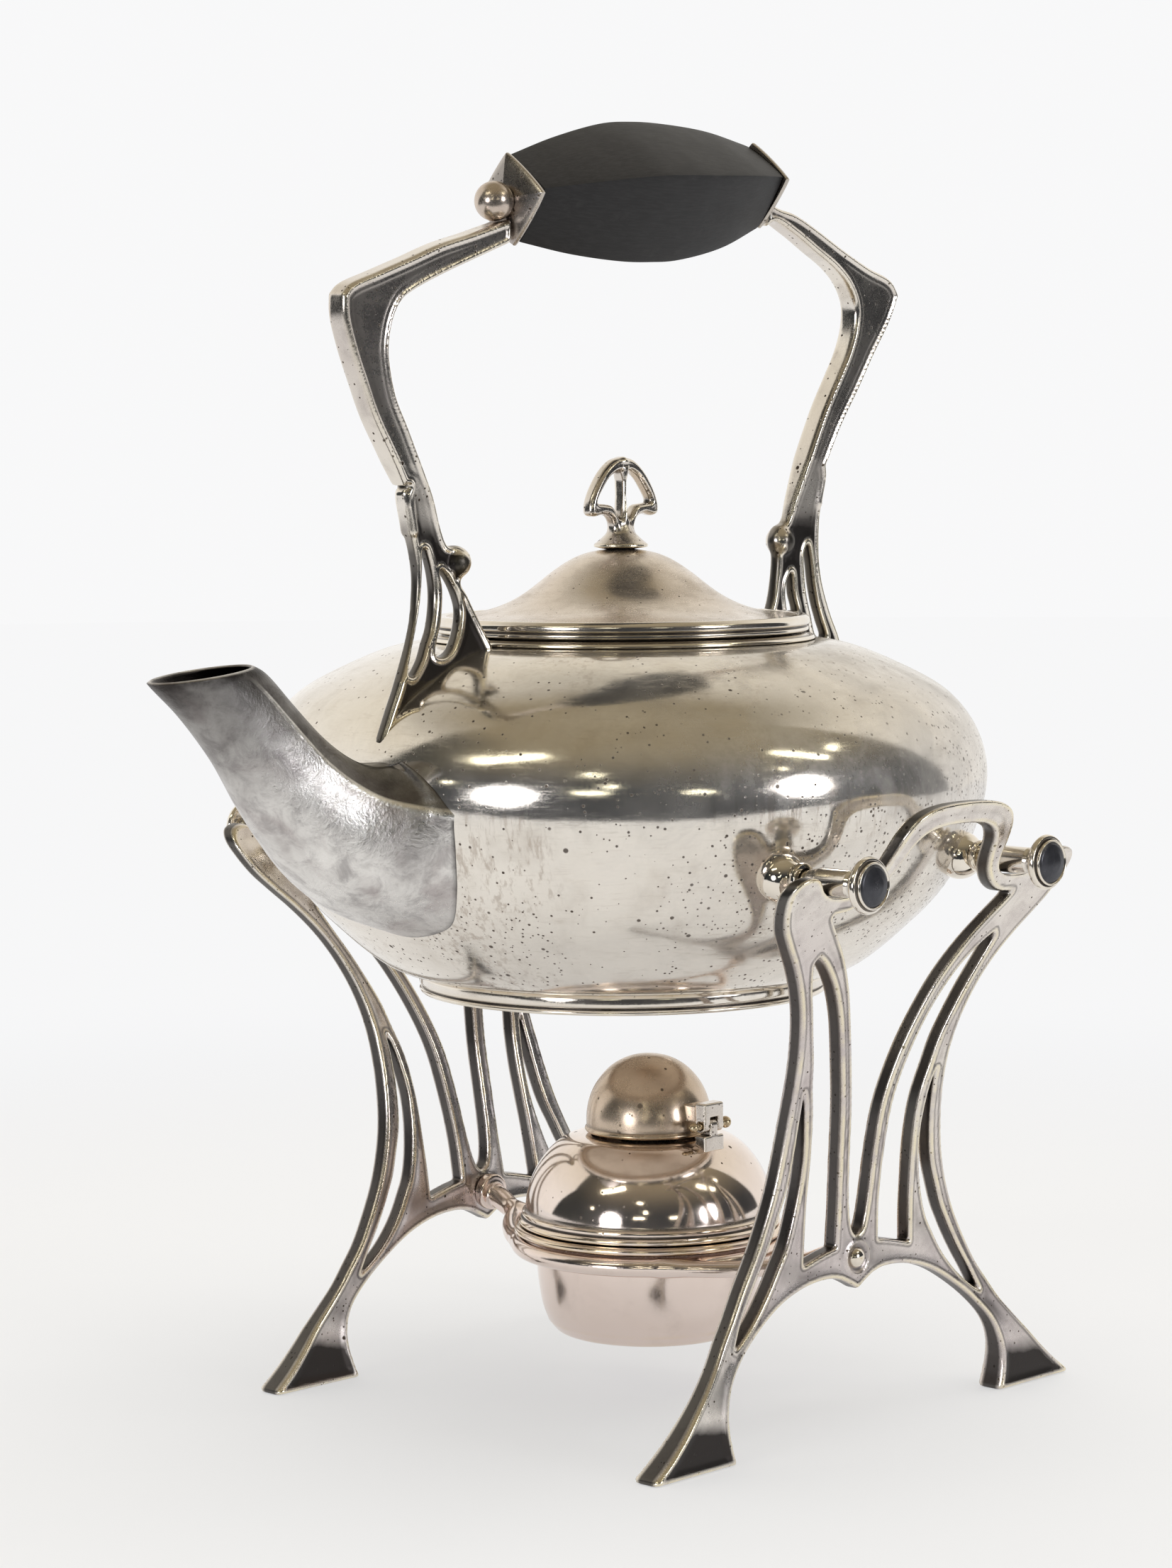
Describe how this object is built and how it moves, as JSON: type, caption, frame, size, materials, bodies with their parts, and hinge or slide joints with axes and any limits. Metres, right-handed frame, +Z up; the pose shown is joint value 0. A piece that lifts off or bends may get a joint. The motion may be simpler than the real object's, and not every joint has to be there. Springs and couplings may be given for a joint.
{
  "type": "tea kettle on stand",
  "caption": "Silver-plated tea kettle with overhead wooden grip and spout, hung by trunnions in a cast openwork stand over a spirit burner with a hinged snuffer.",
  "frame": {"origin": "bottom centre of the whole object's box: feet on z = 0", "axes": "+Z up, -X towards the spout, the stand frames mirrored about y = 0; +Y is the shortest side of the box and +Z the longest"},
  "size_m": [0.2596, 0.2248, 0.3289],
  "materials": {
    "silver_plate": "old silver plate, polished with tarnish in the recesses",
    "silver_satin": "old silver plate, satin cast surface",
    "brass_worn": "brass showing through worn silver plate",
    "dark_inlay": "domed near-black polished inset",
    "ebonised_wood": "ebonised hardwood, satin",
    "wick_cotton": "woven cotton wick"
  },
  "bodies": {
    "stand": {"stand_frame_right": "silver_satin", "stand_frame_left": "silver_satin", "burner_ring": "silver_satin", "frame_rivets": "silver_plate"},
    "front_trunnions": {"front_trunnion_pins": "silver_plate", "front_trunnion_inlays": "dark_inlay"},
    "kettle": {"kettle_body": "silver_plate", "kettle_base_plate": "silver_satin", "kettle_foot_ring": "silver_plate", "kettle_neck_ring": "silver_plate", "kettle_spout": "silver_satin", "trunnion_bosses": "silver_plate", "rear_trunnion_pins": "silver_plate", "rear_trunnion_inlays": "dark_inlay", "handle_casting_front": "silver_satin", "handle_casting_rear": "silver_satin", "handle_ferrule_front": "silver_plate", "handle_ferrule_rear": "silver_plate", "handle_grip": "ebonised_wood", "handle_tie_rod": "brass_worn", "handle_ball_nut": "silver_plate"},
    "lid": {"lid_shell": "silver_plate", "lid_bezel": "silver_satin", "lid_rim": "silver_plate", "lid_finial": "silver_satin", "finial_screw": "brass_worn"},
    "burner": {"burner_bowl": "silver_satin", "burner_dome": "silver_plate", "burner_wick_tube": "brass_worn", "burner_wick": "wick_cotton", "snuffer_hinge_block": "silver_satin", "snuffer_hinge_pin": "brass_worn"},
    "snuffer": {"snuffer_cap": "silver_plate", "snuffer_hinge_leaf": "silver_satin"}
  },
  "joints": [
    {"name": "kettle_lift", "type": "slide", "parent": "stand", "child": "front_trunnions", "axis": [0, 0, 1], "range_m": [0, 0.11]},
    {"name": "kettle_tilt", "type": "hinge", "parent": "front_trunnions", "child": "kettle", "pos_m": [-0.00609, 0, 0.1442], "axis": [0, -1, 0], "range_deg": [0, 60]},
    {"name": "lid_lift", "type": "slide", "parent": "kettle", "child": "lid", "axis": [0, 0, 1], "range_m": [0, 0.045]},
    {"name": "burner_lift", "type": "slide", "parent": "stand", "child": "burner", "axis": [0, 0, 1], "range_m": [0, 0.018]},
    {"name": "snuffer_flip", "type": "hinge", "parent": "burner", "child": "snuffer", "pos_m": [0.03591, -0.0213, 0.072], "axis": [1, 0, 0], "range_deg": [0, 100]}
  ]
}
